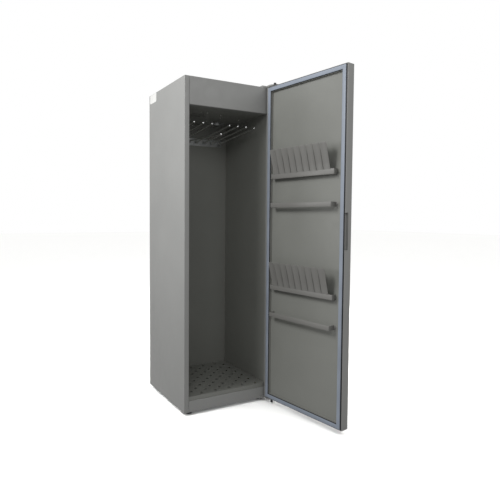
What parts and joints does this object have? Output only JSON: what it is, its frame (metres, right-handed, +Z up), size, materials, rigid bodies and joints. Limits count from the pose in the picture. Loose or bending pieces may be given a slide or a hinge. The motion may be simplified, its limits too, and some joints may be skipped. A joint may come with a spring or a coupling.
{
  "type": "drying cabinet",
  "caption": "Tall drying cabinet with folding hanging rods, a perforated floor, a fan heater above and glove racks on the inside of its open door.",
  "frame": {"origin": "centre of the casing's footprint, on the floor", "axes": "+Z up, +Y to the back, +X to the right as seen from the front; the door stands open 98 degrees"},
  "size_m": [0.6828, 1.155, 1.985],
  "materials": {
    "grey_paint": "satin",
    "lining_paint": "satin",
    "rack_paint": "satin",
    "zinc_steel": "satin",
    "rod_steel": "gloss",
    "wool": "matte",
    "seal_rubber": "matte",
    "black_plastic": "matte",
    "motor_metal": "satin",
    "heater_metal": "satin",
    "board": "matte",
    "white_plastic": "matte",
    "button_grey": "gloss",
    "display_glass": "gloss"
  },
  "bodies": {
    "casing": {"side_panel_left": "grey_paint", "side_panel_right": "grey_paint", "back_panel": "grey_paint", "top_panel": "grey_paint", "front_fascia": "grey_paint", "front_plinth": "grey_paint", "bottom_panel": "zinc_steel", "inner_wall_left": "lining_paint", "inner_wall_right": "lining_paint", "inner_wall_back": "lining_paint", "ceiling_plate": "lining_paint", "insulation_left": "wool", "insulation_right": "wool", "floor_grate": "lining_paint", "rod_rail": "zinc_steel", "rod_pins": "rod_steel", "fan_housing": "zinc_steel", "fan_motor": "motor_metal", "heater_box": "zinc_steel", "heater_elements": "heater_metal", "thermostat": "black_plastic", "control_board": "board", "cable_gland": "black_plastic", "exhaust_spigot": "zinc_steel", "reed_switch": "white_plastic", "hinge_bracket_top": "grey_paint", "hinge_bracket_bottom": "grey_paint", "hinge_pins": "rod_steel", "casing_screws": "zinc_steel"},
    "door": {"door_shell": "grey_paint", "door_lining": "lining_paint", "door_insulation": "wool", "door_seal": "seal_rubber", "finger_notch": "grey_paint", "hinge_bushes": "black_plastic", "door_stops": "black_plastic", "rail_upper": "rack_paint", "rail_lower": "rack_paint", "glove_rack_upper": "rack_paint", "glove_rack_lower": "rack_paint", "door_magnet": "motor_metal", "control_panel": "black_plastic", "display_window": "display_glass", "control_circuit": "board"},
    "fan_wheel": {"fan_wheel": "black_plastic"},
    "rod_1": {"rod_1": "rod_steel"},
    "rod_2": {"rod_2": "rod_steel"},
    "rod_3": {"rod_3": "rod_steel"},
    "rod_4": {"rod_4": "rod_steel"},
    "rod_5": {"rod_5": "rod_steel"},
    "rod_6": {"rod_6": "rod_steel"},
    "rod_7": {"rod_7": "rod_steel"},
    "rod_8": {"rod_8": "rod_steel"},
    "foot_front_left": {"foot_front_left": "black_plastic"},
    "foot_front_right": {"foot_front_right": "black_plastic"},
    "foot_rear_left": {"foot_rear_left": "black_plastic"},
    "foot_rear_right": {"foot_rear_right": "black_plastic"},
    "button_power": {"button_power": "button_grey"},
    "button_mode": {"button_mode": "button_grey"},
    "button_start": {"button_start": "button_grey"}
  },
  "joints": [
    {"name": "door_hinge", "type": "hinge", "parent": "casing", "child": "door", "pos_m": [0.2735, -0.302, 0.982], "axis": [0, 0, 1], "range_deg": [-98, 0]},
    {"name": "fan_spin", "type": "hinge", "parent": "casing", "child": "fan_wheel", "pos_m": [-0.0955, -0.0205, 1.8242], "axis": [0, 0, 1], "continuous": true},
    {"name": "rod_1_fold", "type": "hinge", "parent": "casing", "child": "rod_1", "pos_m": [-0.2082, 0.2225, 1.6632], "axis": [1, 0, 0], "range_deg": [0, 90]},
    {"name": "rod_2_fold", "type": "hinge", "parent": "casing", "child": "rod_2", "pos_m": [-0.14871, 0.2225, 1.6632], "axis": [1, 0, 0], "range_deg": [0, 90]},
    {"name": "rod_3_fold", "type": "hinge", "parent": "casing", "child": "rod_3", "pos_m": [-0.08923, 0.2225, 1.6632], "axis": [1, 0, 0], "range_deg": [0, 90]},
    {"name": "rod_4_fold", "type": "hinge", "parent": "casing", "child": "rod_4", "pos_m": [-0.02974, 0.2225, 1.6632], "axis": [1, 0, 0], "range_deg": [-7.5, 82.5]},
    {"name": "rod_5_fold", "type": "hinge", "parent": "casing", "child": "rod_5", "pos_m": [0.02974, 0.2225, 1.6632], "axis": [1, 0, 0], "range_deg": [0, 90]},
    {"name": "rod_6_fold", "type": "hinge", "parent": "casing", "child": "rod_6", "pos_m": [0.08923, 0.2225, 1.6632], "axis": [1, 0, 0], "range_deg": [0, 90]},
    {"name": "rod_7_fold", "type": "hinge", "parent": "casing", "child": "rod_7", "pos_m": [0.14871, 0.2225, 1.6632], "axis": [1, 0, 0], "range_deg": [0, 90]},
    {"name": "rod_8_fold", "type": "hinge", "parent": "casing", "child": "rod_8", "pos_m": [0.2082, 0.2225, 1.6632], "axis": [1, 0, 0], "range_deg": [0, 90]},
    {"name": "foot_front_left_turn", "type": "hinge", "parent": "casing", "child": "foot_front_left", "pos_m": [-0.2495, -0.2325, 0], "axis": [0, 0, 1], "continuous": true},
    {"name": "foot_front_right_turn", "type": "hinge", "parent": "casing", "child": "foot_front_right", "pos_m": [0.2495, -0.2325, 0], "axis": [0, 0, 1], "continuous": true},
    {"name": "foot_rear_left_turn", "type": "hinge", "parent": "casing", "child": "foot_rear_left", "pos_m": [-0.2495, 0.2325, 0], "axis": [0, 0, 1], "continuous": true},
    {"name": "foot_rear_right_turn", "type": "hinge", "parent": "casing", "child": "foot_rear_right", "pos_m": [0.2495, 0.2325, 0], "axis": [0, 0, 1], "continuous": true},
    {"name": "button_power_press", "type": "slide", "parent": "door", "child": "button_power", "axis": [-0.9903, -0.1392, 0], "range_m": [0, 0.0015], "stiffness_N_per_m": 1000},
    {"name": "button_mode_press", "type": "slide", "parent": "door", "child": "button_mode", "axis": [-0.9903, -0.1392, 0], "range_m": [0, 0.0015], "stiffness_N_per_m": 1000},
    {"name": "button_start_press", "type": "slide", "parent": "door", "child": "button_start", "axis": [-0.9903, -0.1392, 0], "range_m": [0, 0.0015], "stiffness_N_per_m": 1000}
  ]
}
